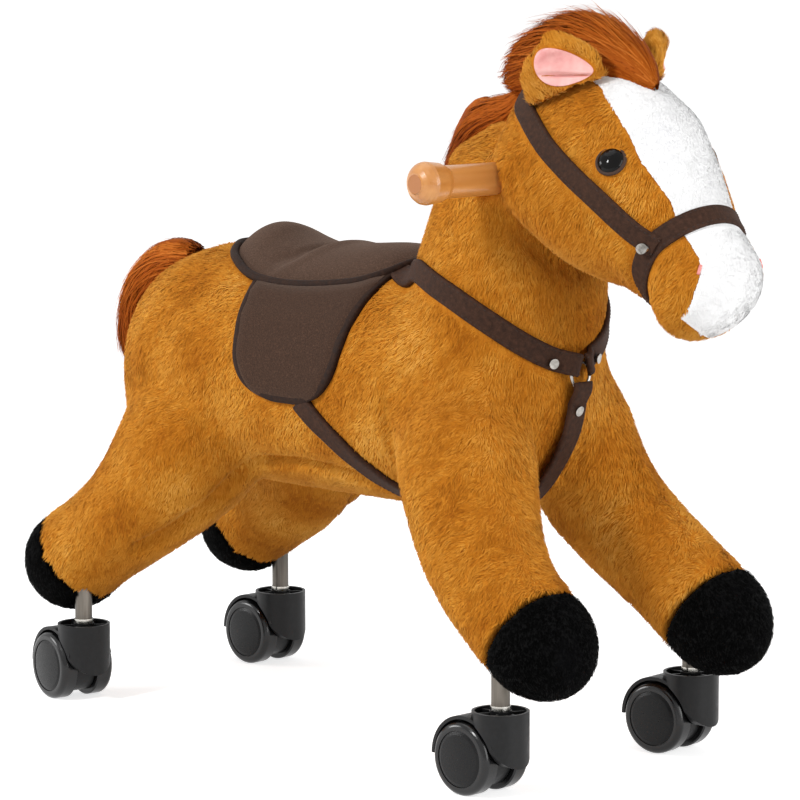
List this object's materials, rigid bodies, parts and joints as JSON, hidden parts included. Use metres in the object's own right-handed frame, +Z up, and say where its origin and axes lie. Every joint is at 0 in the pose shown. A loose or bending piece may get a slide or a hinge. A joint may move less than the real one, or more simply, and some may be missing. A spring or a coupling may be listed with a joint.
{
  "type": "ride-on plush horse",
  "caption": "Stuffed ride-on horse with a saddle, bridle and wooden handlebar, carried on a hidden steel frame with swivel castors under the legs.",
  "frame": {"origin": "on the floor, under the middle of the horse's box", "axes": "+X towards the nose, +Y to the horse's left, +Z up"},
  "size_m": [0.6308, 0.262, 0.5189],
  "materials": {
    "plush": "golden brown plush pile",
    "hoof_plush": "black plush pile",
    "long_pile": "auburn long pile",
    "white_plush": "white short plush",
    "ear_satin": "pink satin",
    "saddle_cloth": "dark brown suede cloth",
    "strap_cloth": "dark brown soft strap",
    "steel": "bare steel",
    "bright_metal": "polished",
    "castor_nylon": "black moulded nylon",
    "wheel_nylon": "black moulded nylon, worn smooth",
    "turned_wood": "varnished",
    "plywood": "bare",
    "eye_plastic": "black dome"
  },
  "bodies": {
    "horse": {"torso": "plush", "neck": "plush", "head": "plush", "face_blaze": "white_plush", "eyes": "eye_plastic", "ears": "plush", "ear_linings": "ear_satin", "mane": "long_pile", "forelock": "long_pile", "tail": "long_pile", "front_right_leg": "plush", "front_left_leg": "plush", "rear_right_leg": "plush", "rear_left_leg": "plush", "front_hooves": "hoof_plush", "rear_hooves": "hoof_plush", "saddle_seat": "saddle_cloth", "saddle_flap_right": "saddle_cloth", "saddle_flap_left": "saddle_cloth", "girth_strap": "strap_cloth", "breast_collar": "strap_cloth", "breast_tie": "strap_cloth", "headpiece_strap": "strap_cloth", "noseband": "strap_cloth", "strap_ring": "bright_metal", "strap_rivets": "bright_metal", "front_leg_tubes": "steel", "rear_leg_tubes": "steel", "frame_spine": "steel", "neck_post": "turned_wood", "seat_board": "plywood", "handlebar": "turned_wood", "frame_bolts": "steel", "frame_nuts": "steel", "castor_stems": "steel"},
    "front_right_castor": {"front_right_housing": "castor_nylon", "front_right_axle": "steel"},
    "front_right_right_wheel": {"front_right_wheel_r": "wheel_nylon", "front_right_disc_r": "wheel_nylon"},
    "front_right_left_wheel": {"front_right_wheel_l": "wheel_nylon", "front_right_disc_l": "wheel_nylon"},
    "front_left_castor": {"front_left_housing": "castor_nylon", "front_left_axle": "steel"},
    "front_left_right_wheel": {"front_left_wheel_r": "wheel_nylon", "front_left_disc_r": "wheel_nylon"},
    "front_left_left_wheel": {"front_left_wheel_l": "wheel_nylon", "front_left_disc_l": "wheel_nylon"},
    "rear_right_castor": {"rear_right_housing": "castor_nylon", "rear_right_axle": "steel"},
    "rear_right_right_wheel": {"rear_right_wheel_r": "wheel_nylon", "rear_right_disc_r": "wheel_nylon"},
    "rear_right_left_wheel": {"rear_right_wheel_l": "wheel_nylon", "rear_right_disc_l": "wheel_nylon"},
    "rear_left_castor": {"rear_left_housing": "castor_nylon", "rear_left_axle": "steel"},
    "rear_left_right_wheel": {"rear_left_wheel_r": "wheel_nylon", "rear_left_disc_r": "wheel_nylon"},
    "rear_left_left_wheel": {"rear_left_wheel_l": "wheel_nylon", "rear_left_disc_l": "wheel_nylon"}
  },
  "joints": [
    {"name": "front_right_swivel", "type": "hinge", "parent": "horse", "child": "front_right_castor", "pos_m": [0.182, -0.094, 0.058], "axis": [0, 0, 1], "continuous": true},
    {"name": "front_right_right_spin", "type": "hinge", "parent": "front_right_castor", "child": "front_right_right_wheel", "pos_m": [0.164, -0.09431, 0.025], "axis": [-0.0175, 0.9998, 0], "continuous": true},
    {"name": "front_right_left_spin", "type": "hinge", "parent": "front_right_castor", "child": "front_right_left_wheel", "pos_m": [0.164, -0.09431, 0.025], "axis": [-0.0175, 0.9998, 0], "continuous": true},
    {"name": "front_left_swivel", "type": "hinge", "parent": "horse", "child": "front_left_castor", "pos_m": [0.182, 0.094, 0.058], "axis": [0, 0, 1], "continuous": true},
    {"name": "front_left_right_spin", "type": "hinge", "parent": "front_left_castor", "child": "front_left_right_wheel", "pos_m": [0.1641, 0.09212, 0.025], "axis": [-0.1045, 0.9945, 0], "continuous": true},
    {"name": "front_left_left_spin", "type": "hinge", "parent": "front_left_castor", "child": "front_left_left_wheel", "pos_m": [0.1641, 0.09212, 0.025], "axis": [-0.1045, 0.9945, 0], "continuous": true},
    {"name": "rear_right_swivel", "type": "hinge", "parent": "horse", "child": "rear_right_castor", "pos_m": [-0.254, -0.098, 0.058], "axis": [0, 0, 1], "continuous": true},
    {"name": "rear_right_right_spin", "type": "hinge", "parent": "rear_right_castor", "child": "rear_right_right_wheel", "pos_m": [-0.27178, -0.09518, 0.025], "axis": [0.1564, 0.9877, 0], "continuous": true},
    {"name": "rear_right_left_spin", "type": "hinge", "parent": "rear_right_castor", "child": "rear_right_left_wheel", "pos_m": [-0.27178, -0.09518, 0.025], "axis": [0.1564, 0.9877, 0], "continuous": true},
    {"name": "rear_left_swivel", "type": "hinge", "parent": "horse", "child": "rear_left_castor", "pos_m": [-0.254, 0.098, 0.058], "axis": [0, 0, 1], "continuous": true},
    {"name": "rear_left_right_spin", "type": "hinge", "parent": "rear_left_castor", "child": "rear_left_right_wheel", "pos_m": [-0.272, 0.098, 0.025], "axis": [0, 1, 0], "continuous": true},
    {"name": "rear_left_left_spin", "type": "hinge", "parent": "rear_left_castor", "child": "rear_left_left_wheel", "pos_m": [-0.272, 0.098, 0.025], "axis": [0, 1, 0], "continuous": true}
  ]
}
